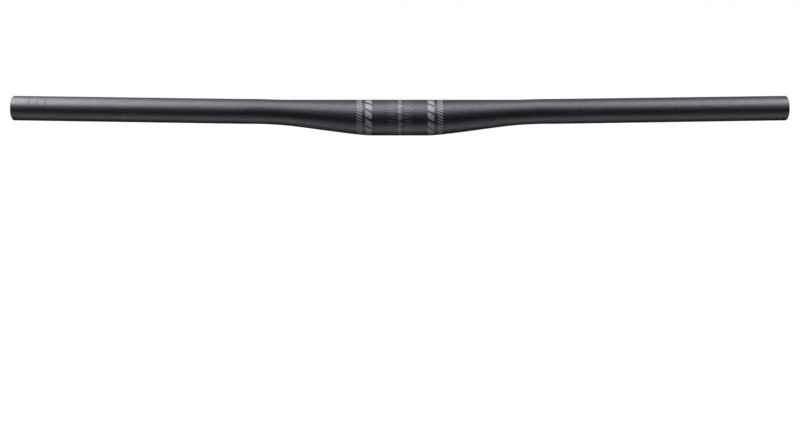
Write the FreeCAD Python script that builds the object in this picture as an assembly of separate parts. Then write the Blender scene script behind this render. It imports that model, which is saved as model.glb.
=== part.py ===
import FreeCAD, Part
import math
import os

# Flat handlebar: one butted aluminium tube that is swaged down from the clamp to the grips,
# lifted so that its top line stays level, and swept back to the grips.
# Frame: origin at the middle of the clamp, +X along the clamp, +Y to the rider, +Z up.
# Millimetres and degrees.

# Overall form
BAR_WIDTH = 700.0  # over the outer rims, before they are chamfered
RISE = 5.5
BACKSWEEP = 9.0
BEND_RADIUS = 100.0

# Outside of the tube
CLAMP_DIAMETER = 31.8
GRIP_DIAMETER = 22.2
KNEE_SURPLUS = 0.9  # what the tube still has over the grip's diameter at the foot of its cone

# Lengths, one after another, from the middle outwards
CLAMP_LENGTH = 50.0  # both sides together
TAPER_EASE = 10.0  # soft start of the taper
TAPER_CONE = 60.0
TAPER_RUNOUT = 14.5  # from the cone to the grip's diameter
LIFT_RUN = 13.5  # the last of the rise, at the grip's diameter
LIFT_EASE = 7.0  # from there to the sweep bend

# Wall of the butted tube
CLAMP_WALL = 2.4
GRIP_WALL = 2.0

# Finish of the cut ends
RIM_CHAMFER = 0.6
BORE_CHAMFER = 0.4

CLAMP_RADIUS = CLAMP_DIAMETER / 2
GRIP_RADIUS = GRIP_DIAMETER / 2
KNEE_RADIUS = GRIP_RADIUS + KNEE_SURPLUS / 2
SWEEP = math.radians(BACKSWEEP)
MIDDLE = FreeCAD.Vector(0, 0, 0)
RIGHT = FreeCAD.Vector(1, 0, 0)
UP = FreeCAD.Vector(0, 0, 1)
OUTWARD = FreeCAD.Vector(math.cos(SWEEP), math.sin(SWEEP), 0)

# Control stations of the taper: how far out, the tube's radius and wall, and the height of its axis.
# The first two and the last two are alike, so the taper leaves the clamp and meets the bend without a kink.
# As far as the grip's diameter the axis climbs by what the radius loses, which keeps the top line level.
TAPER_START = CLAMP_LENGTH / 2
CONE_START = TAPER_START + TAPER_EASE
CONE_END = CONE_START + TAPER_CONE
TAPER_END = CONE_END + TAPER_RUNOUT
LIFT_END = TAPER_END + LIFT_RUN
BEND_START = LIFT_END + LIFT_EASE
PLACES = [TAPER_START, CONE_START, CONE_END, TAPER_END, LIFT_END, BEND_START]
OUTER_RADII = [CLAMP_RADIUS, CLAMP_RADIUS, KNEE_RADIUS, GRIP_RADIUS, GRIP_RADIUS, GRIP_RADIUS]
WALLS = [CLAMP_WALL, CLAMP_WALL, GRIP_WALL, GRIP_WALL, GRIP_WALL, GRIP_WALL]
BORE_RADII = [radius - wall for radius, wall in zip(OUTER_RADII, WALLS)]
HEIGHTS = [CLAMP_RADIUS - radius for radius in OUTER_RADII[:4]] + [RISE, RISE]

# The sweep bend and the straight grip beyond it
BEND_CENTRE = FreeCAD.Vector(BEND_START, BEND_RADIUS, RISE)
GRIP_START = BEND_CENTRE + FreeCAD.Vector(math.sin(SWEEP), -math.cos(SWEEP), 0) * BEND_RADIUS
END_CENTRE_X = BAR_WIDTH / 2 - GRIP_RADIUS * math.sin(SWEEP)
GRIP_LENGTH = (END_CENTRE_X - GRIP_START.x) / math.cos(SWEEP)
BAR_END = GRIP_START + OUTWARD * GRIP_LENGTH

# Round the tube, an exact circle of four quadratic arcs: its poles stand in turn on the circle and on the
# square that holds it. Along the tube, one cubic curve in three spans over the six stations.
ROUND_DEGREE = 2
ROUND_KNOTS = (0, 1, 2, 3, 4)
ROUND_KNOT_COUNTS = (3, 2, 2, 2, 3)
CIRCLE_POLES = range(9)
POLE_ANGLE = math.radians(45)
CORNER_REACH = math.sqrt(2)
CORNER_WEIGHT = 1 / CORNER_REACH
ALONG_DEGREE = 3
ALONG_KNOTS = (0, 1, 2, 3)
ALONG_KNOT_COUNTS = (4, 1, 1, 4)
FULL_TURN = 360


def ring_of_poles(place, radius, height):
    """Poles of a circle that stands across the bar, from the top line round to it again."""
    poles = []
    for number in CIRCLE_POLES:
        angle = POLE_ANGLE * number
        reach = radius * (CORNER_REACH if number % 2 else 1)
        poles.append(FreeCAD.Vector(place, -reach * math.sin(angle), height + reach * math.cos(angle)))
    return poles


def taper_skin(radii):
    """Round sections from the clamp to the sweep bend, drawn along the stations."""
    rings = [ring_of_poles(*station) for station in zip(PLACES, radii, HEIGHTS)]
    weights = [[CORNER_WEIGHT if number % 2 else 1 for number in CIRCLE_POLES] for ring in rings]
    surface = Part.BSplineSurface()
    surface.buildFromPolesMultsKnots(
        rings, ALONG_KNOT_COUNTS, ROUND_KNOT_COUNTS, ALONG_KNOTS, ROUND_KNOTS,
        False, False, ALONG_DEGREE, ROUND_DEGREE, weights)
    return surface.toShape()


def straight_skin(radius, start, length):
    """A plain round length along the clamp's axis."""
    return Part.makeCircle(radius, start, RIGHT).extrude(RIGHT * length)


def bend_skin(radius):
    """The sweep back to the rider: the tube's circle, turned about the bend's centre."""
    circle = Part.makeCircle(radius, FreeCAD.Vector(BEND_START, 0, RISE), RIGHT)
    return circle.revolve(BEND_CENTRE, UP, BACKSWEEP)


def grip_skin(radius, chamfer):
    """The straight end beyond the bend, as far as the chamfer of its cut end."""
    grip = straight_skin(radius, GRIP_START, GRIP_LENGTH - chamfer)
    grip.rotate(GRIP_START, UP, BACKSWEEP)
    return grip


def arm_skins(radii, chamfer):
    """One side of the right arm's wall, from the clamp outwards."""
    return [taper_skin(radii), bend_skin(radii[-1]), grip_skin(radii[-1], chamfer)]


def end_skins():
    """The right arm's cut end, chamfered outside and in: its profile, turned about the grip's axis."""
    bore_radius = BORE_RADII[-1]
    profile = [
        (RIM_CHAMFER, GRIP_RADIUS), (0, GRIP_RADIUS - RIM_CHAMFER),
        (0, bore_radius + BORE_CHAMFER), (BORE_CHAMFER, bore_radius)]
    points = [BAR_END - OUTWARD * depth + UP * radius for depth, radius in profile]
    return Part.makePolygon(points).revolve(BAR_END, OUTWARD, FULL_TURN).Faces


def handlebar():
    """The whole tube: outside, bore and ends sewn into one closed wall, the left arm mirroring the right."""
    left_of_clamp = MIDDLE - RIGHT * TAPER_START
    clamp = [straight_skin(radii[0], left_of_clamp, CLAMP_LENGTH) for radii in (OUTER_RADII, BORE_RADII)]
    right = arm_skins(OUTER_RADII, RIM_CHAMFER) + arm_skins(BORE_RADII, BORE_CHAMFER) + end_skins()
    left = [skin.mirror(MIDDLE, RIGHT) for skin in right]
    wall = Part.Compound(clamp + right + left)
    wall.sewShape()
    return Part.makeSolid(wall.Shells[0])


os.makedirs("parts", exist_ok=True)
handlebar().exportStep("parts/handlebar.step")
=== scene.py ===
import math

import bpy
import numpy
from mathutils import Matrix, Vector


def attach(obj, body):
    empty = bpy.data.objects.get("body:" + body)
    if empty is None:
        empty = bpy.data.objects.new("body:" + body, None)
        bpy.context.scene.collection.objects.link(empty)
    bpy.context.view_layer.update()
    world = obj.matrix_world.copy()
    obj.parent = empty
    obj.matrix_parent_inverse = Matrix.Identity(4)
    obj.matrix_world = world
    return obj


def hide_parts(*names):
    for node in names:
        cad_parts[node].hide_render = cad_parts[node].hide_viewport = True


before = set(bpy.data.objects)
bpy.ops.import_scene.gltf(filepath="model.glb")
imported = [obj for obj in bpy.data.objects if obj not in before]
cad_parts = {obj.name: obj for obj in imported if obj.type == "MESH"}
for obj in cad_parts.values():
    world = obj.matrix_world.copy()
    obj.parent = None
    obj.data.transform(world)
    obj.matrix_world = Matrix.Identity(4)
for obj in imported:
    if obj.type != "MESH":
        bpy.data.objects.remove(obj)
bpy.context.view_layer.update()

# Flat handlebar in black anodised aluminium, with its grey print round the clamp.
# Frame: origin at the middle of the clamp, +X along the clamp, +Y to the rider, +Z up. Metres.
MM = 0.001

# The tube, from the middle outwards, as the solid has it. The taper's stations are in millimetres.
CLAMP_RADIUS = 15.9 * MM
GRIP_RADIUS = 11.1 * MM
GRIP_BORE = 9.1 * MM
CLAMP_BORE = 13.5 * MM
TAPER_PLACES = (25.0, 35.0, 95.0, 109.5, 123.0, 130.0)
TAPER_RADII = (15.9, 15.9, 11.55, 11.1, 11.1, 11.1)
TAPER_BORES = (13.5, 13.5, 9.55, 9.1, 9.1, 9.1)
TAPER_HEIGHTS = (0.0, 0.0, 4.35, 4.8, 5.5, 5.5)
BACKSWEEP = math.radians(9)
BEND_RADIUS = 100.0 * MM
HALF_WIDTH = 350.0 * MM
RIM_CHAMFER = 0.6 * MM
BORE_CHAMFER = 0.4 * MM

# How finely the tube is drawn
TUBE_SIDES = 96
TAPER_ORDER = 4  # a cubic curve
TAPER_STEPS = 9  # rings for each of the taper's three spans
BEND_STEPS = 10
GRIP_STEPS = 8
ARM_MERGE = 0.01 * MM
RING_MERGE = 0.002 * MM
SMOOTH_ANGLE = math.radians(30)

UP = Vector((0, 0, 1))
OUTWARD = Vector((math.cos(BACKSWEEP), math.sin(BACKSWEEP), 0))
BEND_START = Vector((TAPER_PLACES[-1], 0, TAPER_HEIGHTS[-1])) * MM
BEND_CENTRE = BEND_START + Vector((0, BEND_RADIUS, 0))
GRIP_START = BEND_CENTRE + Vector((math.sin(BACKSWEEP), -math.cos(BACKSWEEP), 0)) * BEND_RADIUS
GRIP_LENGTH = (HALF_WIDTH - GRIP_RADIUS * math.sin(BACKSWEEP) - GRIP_START.x) / math.cos(BACKSWEEP)
BAR_END = GRIP_START + OUTWARD * GRIP_LENGTH

# Print on the clamp. Starts are turns in degrees below the middle of the bar as the camera sees it.
# Cuts let a flat shape follow the round tube.
FILM_GAP = 0.012 * MM
FILM_THICKNESS = 0.03 * MM
HEXAGON_FLATS = math.cos(math.radians(30))  # width over the flats, where it is 1 over the corners
MARK_WIDTH = 3.9 * MM
MARK_HEIGHT = 5.2 * MM
MARK_STROKE = 0.52 * MM
MARK_GAP = 0.62 * MM
MARK_GAP_REACH = 0.6  # share of the mark's half size that the gap's faces lie within
MARK_COUNT = 18
MARK_START = 1.0
MARK_CUTS = 2
TICK_INNER = 3.6 * MM
TICK_THICKNESS = 0.3 * MM
TICK_EASE = TICK_THICKNESS / 4
TICK_EASE_STEPS = 2
TICK_COUNT = 36
LONG_TICK = 8.2 * MM
SHORT_TICK = 6.1 * MM
NEXT_TO_ZERO_TICK = 7.1 * MM
ZERO_TICK = 4.1 * MM
BLOCK_INNER = 24.7 * MM
BLOCK_WIDTH = 5.6 * MM
BLOCK_HEIGHT = 5.55 * MM
BLOCK_DROP = 3.35 * MM
BLOCK_COUNT = 13
BLOCK_CUTS = 8
LEFT_BLOCK_START = 12.7
RIGHT_BLOCK_START = 19.5
HATCH_INNER = 33.4 * MM
HATCH_WIDTH = 4.7 * MM
HATCH_HEIGHT = 1.3 * MM
HATCH_DROP = 2.4 * MM
HATCH_COUNT = 36
HATCH_CUTS = 3
HATCH_START = 3.0

# Trim lines at the left end: how far from the tip, and their size round the grip
TRIM_PLACES = (17.0 * MM, 25.0 * MM, 33.0 * MM)
TRIM_THICKNESS = 0.7 * MM
TRIM_HEIGHT = 7.0 * MM
TRIM_TURN = -34.0
TRIM_CUTS = 9

# Flat layout of the tube for its baked finish: three strips of the outside, three smaller ones of the
# bore, and the cut ends. Each strip has its corner on the layout, its radius and its share of the scale.
LAYOUT_SCALE = 1 / 0.272  # the whole layout is 0.272 m wide
STRIP_END = 117.0 * MM  # where the middle strips meet those of the arms
STRIPS = {
    ("outside", 0): (0.004, 0.004, CLAMP_RADIUS, 1.0),
    ("outside", -1): (0.004, 0.377, GRIP_RADIUS, 1.0),
    ("outside", 1): (0.004, 0.639, GRIP_RADIUS, 1.0),
    ("bore", 0): (0.004, 0.901, CLAMP_BORE, 0.3),
    ("bore", -1): (0.27, 0.901, GRIP_BORE, 0.3),
    ("bore", 1): (0.535, 0.901, GRIP_BORE, 0.3),
}
END_STRIP_CORNERS = {-1: (0.885, 0.01), 1: (0.885, 0.04)}
END_STRIP_SIZE = (0.1, 0.02)
END_FACING = 0.5  # how far along the grip's axis a face of the cut end looks, at the least

# Camera: the photograph's frame, how far off it stands, and how high above the clamp
FRAME_WIDTH, FRAME_HEIGHT = 800, 434
SENSOR_WIDTH = 36.0
CAMERA_DISTANCE = 1.93
CAMERA_ELEVATION = math.radians(5.3)
PIXELS_PER_METRE = 1126.0  # at the clamp
CLAMP_ROW = 117.6  # where the photograph has the middle of the clamp
CLAMP_COLUMN = 399.8

# Finishes: the two ends of each colour, how metallic it is, and its roughness at the least and the most
BLACK_LOW = (0.048, 0.0483, 0.0544)
BLACK_HIGH = (0.18, 0.1811, 0.2043)
BLACK_METALLIC = 1
BLACK_ROUGHNESS = (0.41, 0.43)
GREY_LOW = (0.22, 0.2265, 0.238)
GREY_HIGH = (0.43, 0.4425, 0.4665)
DARK_LOW = (0.03, 0.03, 0.034)
DARK_HIGH = (0.04, 0.04, 0.045)
PRINT_METALLIC = 0.5
PRINT_ROUGHNESS = (0.5, 0.56)

# Noises of the finishes, with most of their values between a low and a high one
NOISE_LOW = 0.3
NOISE_HIGH = 0.7
PATCH_SCALE = 90
PATCH_DETAIL = 3
GLOSS_SCALE = 140
GLOSS_DETAIL = 2
GRAIN_SCALE = 3000
GRAIN_DETAIL = 1
GRAIN_SHARE = 0.96  # of the colour's unevenness, the rest is in wide patches
GRAIN_STRENGTH = 1.0
GRAIN_DEPTH = 0.13 * MM

# Studio: the floor, lamps with their places, sizes and watts, and cards with their places, sizes and turns
FLOOR_HEIGHT = -0.45
FLOOR_SIDES = 96
FLOOR_GREY = (0.12, 0.12, 0.12, 1)  # for the light that it throws back
FLOOR_WHITE = (0.96, 0.96, 0.96, 1)  # as it is seen
SWEEP_RADIUS = 7.0
SWEEP_WALL = 1.7
COVE_STEPS = 8
ROOM_WHITE = (1, 1, 1, 1)
ROOM_LIGHT = 0.3
SOFTBOXES = (
    ("left_softbox", (-1.45, -0.25, 1.15), (1.1, 2.1), 24.6),
    ("left_end_softbox", (-0.62, -0.05, 0.36), (0.2, 0.4), 1.72),
    ("rear_softbox", (-1.3, 0.6, 1.2), (1.1, 0.7), 22.9),
    ("middle_softbox", (0, -0.55, 1.1), (1.5, 1.5), 15.1),
    ("right_softbox", (1.45, -0.3, 1.15), (1.1, 2.0), 13.8),
    ("right_end_softbox", (0.64, -0.05, 0.36), (0.2, 0.4), 1.17),
)
CARD_BLACK = (0.02, 0.02, 0.02, 1)
BLACK_CARDS = (
    ("front_card", (0, -0.29, -0.07), (3.6, 0.72), 90),
    ("gap_card", (0, -0.135, -0.4), (3.6, 0.075), 0),
    ("rear_card", (0, 0.77, -0.4), (3.6, 1.5), 0),
)


def taper_rings(radii):
    """Centres and radii of the right arm's taper, read from a smooth curve over its stations."""
    curve = bpy.data.curves.new("taper_line", "CURVE")
    curve.dimensions = "3D"
    spline = curve.splines.new("NURBS")
    spline.points.add(len(TAPER_PLACES) - 1)
    for point, *station in zip(spline.points, TAPER_PLACES, radii, TAPER_HEIGHTS):
        point.co = (*station, 1)
    spline.order_u = TAPER_ORDER
    spline.use_endpoint_u = True
    spline.resolution_u = TAPER_STEPS
    line = bpy.data.objects.new("taper_line", curve)
    bpy.context.collection.objects.link(line)
    mesh = bpy.data.meshes.new_from_object(line)
    rings = [(Vector((vertex.co.x, 0, vertex.co.z)) * MM, vertex.co.y * MM) for vertex in mesh.vertices]
    bpy.data.meshes.remove(mesh)
    bpy.data.objects.remove(line)
    bpy.data.curves.remove(curve)
    return rings


# The tube's open end while it is drawn
open_end = {"centre": Vector(), "radius": CLAMP_RADIUS}


def next_ring(centre, radius):
    """Draws the tube's open end on to a new place and size."""
    bpy.ops.mesh.extrude_region_move(TRANSFORM_OT_translate={"value": centre - open_end["centre"]})
    size = radius / open_end["radius"]
    bpy.ops.transform.resize(value=(size, size, size), center_override=centre)
    open_end.update(centre=centre, radius=radius)


def bend_ring(angle, end):
    """Sweeps the tube's open end round the bend."""
    bpy.ops.mesh.spin(steps=BEND_STEPS, angle=-angle, center=BEND_CENTRE, axis=UP)
    open_end.update(centre=end)


def tube():
    """The whole bar: a ring drawn out to the right end, back in through the bore, and mirrored."""
    bpy.ops.object.select_all(action="DESELECT")
    bpy.ops.mesh.primitive_circle_add(
        vertices=TUBE_SIDES, radius=CLAMP_RADIUS, fill_type="NOTHING", calc_uvs=False,
        rotation=(0, math.radians(90), 0))
    bar = bpy.context.object
    bar.name = bar.data.name = "black_tube"
    bpy.ops.object.transform_apply(location=True, rotation=True, scale=True)
    bpy.ops.object.mode_set(mode="EDIT")
    bpy.ops.mesh.select_mode(type="EDGE")
    bpy.ops.mesh.select_all(action="SELECT")
    for centre, radius in taper_rings(TAPER_RADII):
        next_ring(centre, radius)
    bend_ring(BACKSWEEP, GRIP_START)
    straight = GRIP_LENGTH - RIM_CHAMFER
    for step in range(GRIP_STEPS):
        next_ring(GRIP_START + OUTWARD * straight * (step + 1) / GRIP_STEPS, GRIP_RADIUS)
    next_ring(BAR_END, GRIP_RADIUS - RIM_CHAMFER)
    next_ring(BAR_END, GRIP_BORE + BORE_CHAMFER)
    next_ring(BAR_END - OUTWARD * BORE_CHAMFER, GRIP_BORE)
    next_ring(GRIP_START, GRIP_BORE)
    bend_ring(-BACKSWEEP, BEND_START)
    for centre, radius in reversed(taper_rings(TAPER_BORES)[:-1]):
        next_ring(centre, radius)
    next_ring(Vector(), CLAMP_BORE)
    bpy.ops.object.mode_set(mode="OBJECT")
    mirror = bar.modifiers.new("left_arm", "MIRROR")
    mirror.merge_threshold = ARM_MERGE
    bpy.ops.object.modifier_apply(modifier=mirror.name)
    bpy.ops.object.mode_set(mode="EDIT")
    bpy.ops.mesh.select_all(action="SELECT")
    bpy.ops.mesh.remove_doubles(threshold=RING_MERGE)
    bpy.ops.mesh.normals_make_consistent(inside=False)
    bpy.ops.object.mode_set(mode="OBJECT")
    bpy.ops.object.shade_smooth_by_angle(angle=SMOOTH_ANGLE)
    return bar


def on_bar(place, taper):
    """A point's distance along the bar from its middle, and its turn and distance from the axis."""
    out = abs(place.x)
    if out <= BEND_START.x:
        along, behind = out, place.y
        height = numpy.interp(out, [centre.x for centre, _ in taper], [centre.z for centre, _ in taper])
    else:
        height = BEND_START.z
        spoke = Vector((out, place.y)) - BEND_CENTRE.xy
        arm = Vector((out, place.y)) - GRIP_START.xy
        angle = min(math.atan2(spoke.x, -spoke.y), BACKSWEEP)
        along = BEND_START.x + BEND_RADIUS * angle
        behind = BEND_RADIUS - spoke.length
        if angle == BACKSWEEP:
            along += arm.dot(OUTWARD.xy)
            behind = arm.y * OUTWARD.x - arm.x * OUTWARD.y
    return along, math.atan2(behind, place.z - height), math.hypot(behind, place.z - height)


def strip_of(face, taper):
    """The strip of the layout that a face of the tube lies on, and the face's turn about the axis."""
    along, turn, _ = on_bar(face.center, taper)
    side = int(math.copysign(1, face.center.x))
    facing = abs(face.normal.dot(Vector((side * OUTWARD.x, OUTWARD.y, 0))))
    if along > BEND_START.x and facing > END_FACING:
        return "end", side, turn
    outward = math.sin(turn) * face.normal.y + math.cos(turn) * face.normal.z
    skin = "outside" if outward > 0 else "bore"
    return skin, side if along > STRIP_END else 0, turn


def lay_flat(bar):
    """Unrolls the tube into strips that part along its underside, for its finish to be baked on."""
    taper = taper_rings(TAPER_RADII)
    layout = bar.data.uv_layers.new(name="OFBake")
    for face in bar.data.polygons:
        skin, side, face_turn = strip_of(face, taper)
        for corner, number in zip(face.loop_indices, face.vertices):
            place = bar.data.vertices[number].co
            along, turn, reach = on_bar(place, taper)
            turn += 2 * math.pi * round((face_turn - turn) / (2 * math.pi))
            share_round = turn / (2 * math.pi) + 0.5
            if skin == "end":
                left, low = END_STRIP_CORNERS[side]
                width, height = END_STRIP_SIZE
                across = (reach - GRIP_BORE) / (GRIP_RADIUS - GRIP_BORE)
                layout.uv[corner].vector = (left + width * share_round, low + height * across)
            else:
                left, low, radius, share = STRIPS[skin, side]
                from_start = along - STRIP_END if side else math.copysign(along, place.x) + STRIP_END
                scale = LAYOUT_SCALE * share
                layout.uv[corner].vector = (
                    left + from_start * scale, low + 2 * math.pi * radius * share_round * scale)


def flat_sheet(name, place, width, height, radius=CLAMP_RADIUS):
    """A flat rectangle of print on the tube's top line, from its left end."""
    bpy.ops.object.select_all(action="DESELECT")
    bpy.ops.mesh.primitive_plane_add(size=1, location=(place + width / 2, 0, radius))
    sheet = bpy.context.object
    sheet.name = sheet.data.name = name
    sheet.scale = (width, height, 1)
    bpy.ops.object.transform_apply(location=True, rotation=True, scale=True)
    return sheet


def pick_corners(sheet, wanted):
    """Selects the corners that are wanted by their place, and leaves the sheet in edit mode."""
    bpy.ops.object.mode_set(mode="EDIT")
    bpy.ops.mesh.select_mode(type="VERT")
    bpy.ops.mesh.select_all(action="DESELECT")
    bpy.ops.object.mode_set(mode="OBJECT")
    for corner in sheet.data.vertices:
        corner.select = wanted(corner.co)
    bpy.ops.object.mode_set(mode="EDIT")


def slanted_sheet(name, place, width, height, drop, cuts):
    """A print block whose right edge hangs lower than its left."""
    sheet = flat_sheet(name, place, width, height)
    pick_corners(sheet, lambda corner: corner.x > place + width / 2)
    bpy.ops.transform.translate(value=(0, -drop, 0))
    bpy.ops.mesh.select_all(action="SELECT")
    bpy.ops.mesh.subdivide(number_cuts=cuts)
    bpy.ops.object.mode_set(mode="OBJECT")
    return sheet


def tick_line(name, side, length):
    """One line of the angle scale, with its corners eased."""
    place = TICK_INNER if side > 0 else -TICK_INNER - length
    line = flat_sheet(name, place, length, TICK_THICKNESS)
    bpy.ops.object.mode_set(mode="EDIT")
    bpy.ops.mesh.select_all(action="SELECT")
    bpy.ops.mesh.bevel(offset=TICK_EASE, segments=TICK_EASE_STEPS, affect="VERTICES")
    bpy.ops.object.mode_set(mode="OBJECT")
    return line


def hexagon_mark(name):
    """A six-sided ring with a six-sided dot in it."""
    bpy.ops.object.select_all(action="DESELECT")
    bpy.ops.mesh.primitive_circle_add(
        vertices=6, radius=0.5, fill_type="NGON", location=(0, 0, CLAMP_RADIUS))
    mark = bpy.context.object
    mark.name = mark.data.name = name
    mark.scale = (MARK_WIDTH / HEXAGON_FLATS, MARK_HEIGHT, 1)
    bpy.ops.object.transform_apply(location=True, rotation=True, scale=True)
    bpy.ops.object.mode_set(mode="EDIT")
    bpy.ops.mesh.select_mode(type="FACE")
    bpy.ops.mesh.select_all(action="SELECT")
    bpy.ops.mesh.inset(thickness=MARK_STROKE)
    bpy.ops.mesh.inset(thickness=MARK_GAP)
    bpy.ops.mesh.poke()
    bpy.ops.mesh.select_all(action="DESELECT")
    bpy.ops.object.mode_set(mode="OBJECT")
    for face in mark.data.polygons:
        reach = math.hypot(face.center.x / MARK_WIDTH, face.center.y / MARK_HEIGHT) * 2
        face.select = len(face.vertices) == 4 and reach < MARK_GAP_REACH
    bpy.ops.object.mode_set(mode="EDIT")
    bpy.ops.mesh.delete(type="FACE")
    bpy.ops.mesh.select_all(action="SELECT")
    bpy.ops.mesh.subdivide(number_cuts=MARK_CUTS)
    bpy.ops.object.mode_set(mode="OBJECT")
    return mark


def copy_of(model):
    """A copy of a flat print shape with its own mesh, selected alone."""
    bpy.ops.object.select_all(action="DESELECT")
    model.select_set(True)
    bpy.context.view_layer.objects.active = model
    bpy.ops.object.duplicate()
    return bpy.context.object


def from_top_line(turn):
    """How far a print shape turns from the tube's top line to reach its turn as the camera sees it."""
    return math.radians(90 + turn) - CAMERA_ELEVATION


def copies_round(model, turns):
    """Copies of a flat print shape round the bar, one at each turn."""
    copies = []
    for turn in turns:
        copy = copy_of(model)
        copy.rotation_euler.x = from_top_line(turn)
        bpy.ops.object.transform_apply(location=True, rotation=True, scale=True)
        copies.append(copy)
    bpy.data.objects.remove(model)
    return copies


def printed(name, copies, bar, ink):
    """Joins print shapes into one piece and lays them on the tube as a thin film."""
    bpy.ops.object.select_all(action="DESELECT")
    for copy in copies:
        copy.select_set(True)
    bpy.context.view_layer.objects.active = copies[0]
    bpy.ops.object.join()
    film = bpy.context.object
    film.name = film.data.name = name
    wrap = film.modifiers.new("wrap", "SHRINKWRAP")
    wrap.target = bar
    wrap.wrap_method = "NEAREST_SURFACEPOINT"
    wrap.wrap_mode = "ABOVE_SURFACE"
    wrap.offset = FILM_GAP
    bpy.ops.object.modifier_apply(modifier=wrap.name)
    body = film.modifiers.new("body", "SOLIDIFY")
    body.thickness = FILM_THICKNESS
    body.offset = 1
    bpy.ops.object.modifier_apply(modifier=body.name)
    film.data.materials.append(ink)
    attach(film, "root")


def even_turns(start, count):
    """Turns spread evenly round the bar."""
    return [start + 360 / count * number for number in range(count)]


def tick_length(number):
    """Lines of the angle scale are long and short in turn, and shorter at its two zero marks."""
    half_scale = TICK_COUNT // 2
    from_zero = min(number % half_scale, half_scale - number % half_scale)
    if from_zero == 0:
        return ZERO_TICK
    if from_zero == 1:
        return NEXT_TO_ZERO_TICK
    return LONG_TICK if number % 2 else SHORT_TICK


def angle_scale(bar, ink):
    """The hexagon marks round the middle of the clamp, and the scale's lines on both sides of them."""
    marks = copies_round(hexagon_mark("hexagon"), even_turns(MARK_START, MARK_COUNT))
    printed("centre_marks", marks, bar, ink)
    turns = even_turns(MARK_START, TICK_COUNT)
    lengths = [tick_length(number) for number in range(TICK_COUNT)]
    ticks = []
    for side in (-1, 1):
        for length in sorted(set(lengths)):
            alike = [turn for turn, its_length in zip(turns, lengths) if its_length == length]
            ticks += copies_round(tick_line("tick", side, length), alike)
    printed("angle_ticks", ticks, bar, ink)


def side_bands(bar, ink):
    """The slanted blocks at the ends of the clamp, and the finer hatching beyond them."""
    block_bands = (
        ("left", -BLOCK_INNER - BLOCK_WIDTH, LEFT_BLOCK_START),
        ("right", BLOCK_INNER, RIGHT_BLOCK_START),
    )
    for side, place, start in block_bands:
        block = slanted_sheet("block", place, BLOCK_WIDTH, BLOCK_HEIGHT, BLOCK_DROP, BLOCK_CUTS)
        blocks = copies_round(block, even_turns(start, BLOCK_COUNT))
        printed(side + "_block_band", blocks, bar, ink)
    for side, place in (("left", -HATCH_INNER - HATCH_WIDTH), ("right", HATCH_INNER)):
        stroke = slanted_sheet("stroke", place, HATCH_WIDTH, HATCH_HEIGHT, HATCH_DROP, HATCH_CUTS)
        strokes = copies_round(stroke, even_turns(HATCH_START, HATCH_COUNT))
        printed(side + "_hatch_band", strokes, bar, ink)


def trim_lines(bar, ink):
    """Three dark lines round the upper front of the left grip, where the bar may be cut shorter."""
    model = flat_sheet("line", -TRIM_THICKNESS / 2, TRIM_THICKNESS, TRIM_HEIGHT, GRIP_RADIUS)
    bpy.ops.object.mode_set(mode="EDIT")
    bpy.ops.mesh.select_all(action="SELECT")
    bpy.ops.mesh.subdivide(number_cuts=TRIM_CUTS)
    bpy.ops.object.mode_set(mode="OBJECT")
    lines = []
    for place in TRIM_PLACES:
        line = copy_of(model)
        on_axis = BAR_END - OUTWARD * place
        line.location = (-on_axis.x, on_axis.y, on_axis.z)
        line.rotation_euler = (from_top_line(TRIM_TURN), 0, -BACKSWEEP)
        bpy.ops.object.transform_apply(location=True, rotation=True, scale=True)
        lines.append(line)
    bpy.data.objects.remove(model)
    printed("trim_lines", lines, bar, ink)


def ramp(nodes, links, source, low, high):
    """Spreads a noise's values between two colours."""
    spread = nodes.new("ShaderNodeValToRGB")
    spread.color_ramp.elements[0].position = NOISE_LOW
    spread.color_ramp.elements[0].color = (*low, 1)
    spread.color_ramp.elements[1].position = NOISE_HIGH
    spread.color_ramp.elements[1].color = (*high, 1)
    links.new(source, spread.inputs["Fac"])
    return spread


def noise(nodes, links, place, scale, detail):
    """A noise over the piece's own frame."""
    texture = nodes.new("ShaderNodeTexNoise")
    texture.inputs["Scale"].default_value = scale
    texture.inputs["Detail"].default_value = detail
    links.new(place.outputs["Object"], texture.inputs["Vector"])
    return texture


def blasted_finish(name, low, high, metallic, smooth, rough):
    """A finish over bead-blasted metal: fine grain, and a faint unevenness in colour and gloss."""
    material = bpy.data.materials.new(name)
    material.use_nodes = True
    nodes, links = material.node_tree.nodes, material.node_tree.links
    shader = nodes["Principled BSDF"]
    shader.inputs["Metallic"].default_value = metallic
    place = nodes.new("ShaderNodeTexCoord")
    patches = noise(nodes, links, place, PATCH_SCALE, PATCH_DETAIL)
    grain = noise(nodes, links, place, GRAIN_SCALE, GRAIN_DETAIL)
    speckle = nodes.new("ShaderNodeMix")
    speckle.inputs["Factor"].default_value = GRAIN_SHARE
    links.new(patches.outputs["Fac"], speckle.inputs["A"])
    links.new(grain.outputs["Fac"], speckle.inputs["B"])
    colour = ramp(nodes, links, speckle.outputs["Result"], low, high)
    links.new(colour.outputs["Color"], shader.inputs["Base Color"])
    gloss_patches = noise(nodes, links, place, GLOSS_SCALE, GLOSS_DETAIL)
    gloss = ramp(nodes, links, gloss_patches.outputs["Fac"], (smooth,) * 3, (rough,) * 3)
    links.new(gloss.outputs["Color"], shader.inputs["Roughness"])
    bump = nodes.new("ShaderNodeBump")
    bump.inputs["Strength"].default_value = GRAIN_STRENGTH
    bump.inputs["Distance"].default_value = GRAIN_DEPTH
    links.new(grain.outputs["Fac"], bump.inputs["Height"])
    links.new(bump.outputs["Normal"], shader.inputs["Normal"])
    return material


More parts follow.
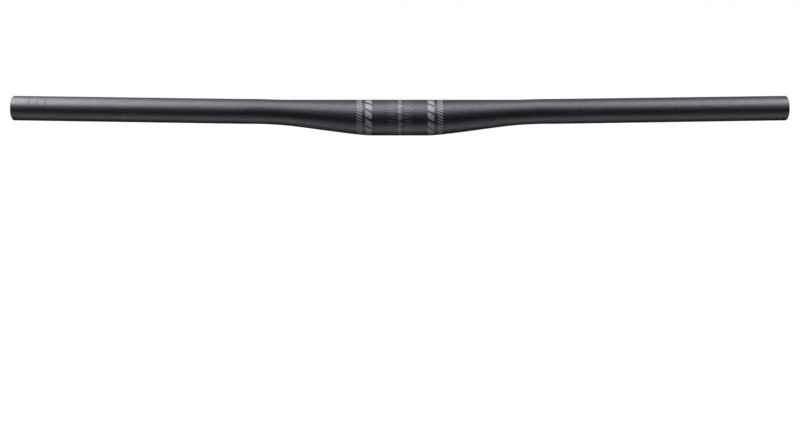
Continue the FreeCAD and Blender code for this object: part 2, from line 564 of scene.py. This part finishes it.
def pale_floor():
    """A matt floor that shows as white, also in the tube's gloss, and throws little light back."""
    material = bpy.data.materials.new("pale_floor")
    material.use_nodes = True
    nodes, links = material.node_tree.nodes, material.node_tree.links
    shader = nodes["Principled BSDF"]
    shader.inputs["Base Color"].default_value = FLOOR_GREY
    shader.inputs["Roughness"].default_value = 1
    shader.inputs["Emission Color"].default_value = FLOOR_WHITE
    rays = nodes.new("ShaderNodeLightPath")
    seen = nodes.new("ShaderNodeMath")
    seen.operation = "MAXIMUM"
    links.new(rays.outputs["Is Camera Ray"], seen.inputs[0])
    links.new(rays.outputs["Is Glossy Ray"], seen.inputs[1])
    shown = nodes.new("ShaderNodeMath")
    shown.operation = "MAXIMUM"
    links.new(seen.outputs["Value"], shown.inputs[0])
    links.new(rays.outputs["Is Transmission Ray"], shown.inputs[1])
    links.new(shown.outputs["Value"], shader.inputs["Emission Strength"])
    return material


def floor_sweep():
    """A plain pale floor well below the bar, which curves up to a low wall all round."""
    bpy.ops.object.select_all(action="DESELECT")
    bpy.ops.mesh.primitive_circle_add(
        vertices=FLOOR_SIDES, radius=SWEEP_RADIUS, fill_type="NGON", location=(0, 0, FLOOR_HEIGHT))
    sweep = bpy.context.object
    sweep.name = "floor_sweep"
    bpy.ops.object.mode_set(mode="EDIT")
    bpy.ops.mesh.select_mode(type="EDGE")
    bpy.ops.mesh.select_all(action="SELECT")
    bpy.ops.mesh.region_to_loop()
    bpy.ops.mesh.extrude_edges_move(TRANSFORM_OT_translate={"value": (0, 0, SWEEP_WALL)})
    bpy.ops.object.mode_set(mode="OBJECT")
    cove = sweep.modifiers.new("cove", "BEVEL")
    cove.width = SWEEP_WALL / 2
    cove.segments = COVE_STEPS
    bpy.ops.object.modifier_apply(modifier=cove.name)
    bpy.ops.object.shade_smooth()
    sweep.data.materials.append(pale_floor())


def black_card(name, place, size, turn):
    """A black card that only the tube's gloss shows."""
    bpy.ops.object.select_all(action="DESELECT")
    bpy.ops.mesh.primitive_plane_add(size=1, location=place, rotation=(math.radians(turn), 0, 0))
    card = bpy.context.object
    card.name = name
    card.scale = (*size, 1)
    bpy.ops.object.transform_apply(location=True, rotation=True, scale=True)
    material = bpy.data.materials.new(name)
    material.use_nodes = True
    shader = material.node_tree.nodes["Principled BSDF"]
    shader.inputs["Base Color"].default_value = CARD_BLACK
    shader.inputs["Roughness"].default_value = 1
    shader.inputs["Specular IOR Level"].default_value = 0
    card.data.materials.append(material)
    card.visible_camera = False
    card.visible_shadow = False
    card.visible_diffuse = False


def softbox(name, place, size, watts):
    """A rectangular lamp above the bar, tilted forwards or back to its axis."""
    lamp = bpy.data.lights.new(name, "AREA")
    lamp.shape = "RECTANGLE"
    lamp.size, lamp.size_y = size
    lamp.energy = watts
    box = bpy.data.objects.new(name, lamp)
    box.location = place
    box.rotation_euler.x = math.atan2(place[1], place[2])
    bpy.context.collection.objects.link(box)


def studio():
    """Softboxes above the bar, a dim pale room, and black cards for the dark bands of the gloss."""
    world = bpy.data.worlds.new("pale_room")
    world.use_nodes = True
    background = world.node_tree.nodes["Background"]
    background.inputs["Color"].default_value = ROOM_WHITE
    background.inputs["Strength"].default_value = ROOM_LIGHT
    bpy.context.scene.world = world
    for name, place, size, watts in SOFTBOXES:
        softbox(name, place, size, watts)
    for name, place, size, turn in BLACK_CARDS:
        black_card(name, place, size, turn)
    floor_sweep()


def camera():
    """The photograph's view: the lens looks below the clamp, so the bar sits high in the frame."""
    lens = bpy.data.cameras.new("camera")
    focal = PIXELS_PER_METRE * CAMERA_DISTANCE
    lens.sensor_width = SENSOR_WIDTH
    lens.lens = focal / FRAME_WIDTH * SENSOR_WIDTH
    eye = bpy.data.objects.new("camera", lens)
    in_front = CAMERA_DISTANCE * math.cos(CAMERA_ELEVATION)
    above = CAMERA_DISTANCE * math.sin(CAMERA_ELEVATION)
    eye.location = (0, -in_front, above)
    below_clamp = math.atan((FRAME_HEIGHT / 2 - CLAMP_ROW) / focal)
    aside = math.atan((FRAME_WIDTH / 2 - CLAMP_COLUMN) / focal)
    eye.rotation_euler = (math.radians(90) - CAMERA_ELEVATION - below_clamp, 0, -aside)
    bpy.context.collection.objects.link(eye)
    bpy.context.scene.camera = eye


bar = tube()
lay_flat(bar)
black = blasted_finish("black_anodised", BLACK_LOW, BLACK_HIGH, BLACK_METALLIC, *BLACK_ROUGHNESS)
bar.data.materials.append(black)
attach(bar, "root")
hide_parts("handlebar")
grey = blasted_finish("grey_print", GREY_LOW, GREY_HIGH, PRINT_METALLIC, *PRINT_ROUGHNESS)
angle_scale(bar, grey)
side_bands(bar, grey)
dark = blasted_finish("dark_print", DARK_LOW, DARK_HIGH, PRINT_METALLIC, *PRINT_ROUGHNESS)
trim_lines(bar, dark)

studio()
camera()
bpy.context.scene.view_settings.view_transform = "Standard"
